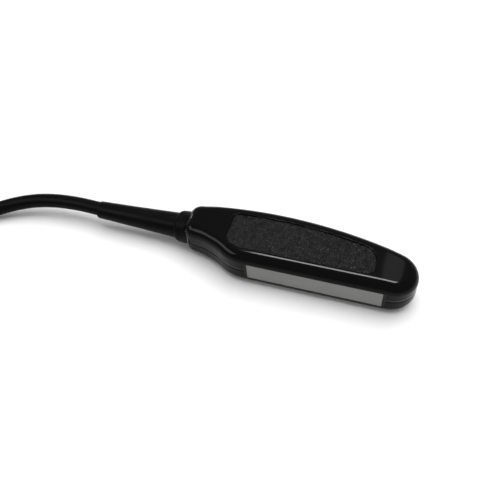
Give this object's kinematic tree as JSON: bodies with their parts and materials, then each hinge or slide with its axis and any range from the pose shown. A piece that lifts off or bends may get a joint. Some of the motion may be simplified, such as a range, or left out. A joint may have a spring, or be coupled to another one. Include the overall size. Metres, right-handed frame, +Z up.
{
  "type": "ultrasound transducer probe",
  "caption": "Flat endorectal linear-array ultrasound probe: glossy two-part housing with grip panels, grey lens window on one long edge, collar, strain relief boot, cable and plug.",
  "frame": {"origin": "under the middle of the probe without its cable, on the surface it lies on", "axes": "+X from the cable entry to the nose, +Y from the lens window to the back, +Z up through the two grip faces"},
  "size_m": [0.3884, 0.0712, 0.0355],
  "materials": {
    "housing": "polished black moulding with matte leather-grain grip panels",
    "lens": "smooth grey silicone",
    "array_frame": "fine black moulding",
    "matching_epoxy": "ground filled epoxy",
    "piezo_ceramic": "fired ceramic, diced",
    "flex_film": "amber polyimide film",
    "backing": "loaded rubber block",
    "board": "green solder resist",
    "connector_plastic": "black connector moulding",
    "ferrite": "sintered ferrite",
    "screw_steel": "plain stainless",
    "coax": "taped bundle of fine coaxial cores",
    "ferrule_brass": "crimped ring",
    "clamp_steel": "bent strip",
    "collar": "turned black ring, semi-gloss",
    "seal": "nitrile ring",
    "boot": "smooth satin elastomer",
    "cable_jacket": "smooth black jacket",
    "tie": "black hook-and-loop strap",
    "plug_body": "fine spark-eroded moulding",
    "plug_plate": "nickelled plate",
    "contact_gold": "gold-plated spring contacts"
  },
  "bodies": {
    "root": {"upper_shell": "housing", "lower_shell": "housing", "acoustic_lens": "lens", "array_frame": "array_frame", "outer_matching_layer": "matching_epoxy", "inner_matching_layer": "matching_epoxy", "piezo_elements": "piezo_ceramic", "signal_flex": "flex_film", "backing_block": "backing", "interconnect_board": "board", "flex_connectors": "connector_plastic", "tuning_inductors": "ferrite", "board_screws": "screw_steel", "coax_bundle": "coax", "shield_ferrule": "ferrule_brass", "cable_clamp": "clamp_steel", "clamp_screws": "screw_steel", "neck_collar": "collar", "neck_seal": "seal", "strain_relief_boot": "boot", "cable": "cable_jacket", "cable_hank": "cable_jacket", "cable_tail": "cable_jacket", "hank_tie": "tie", "plug_boot": "boot", "plug_housing": "plug_body", "plug_plate": "plug_plate", "plug_tongue": "connector_plastic", "plug_contacts": "contact_gold"}
  },
  "joints": []
}
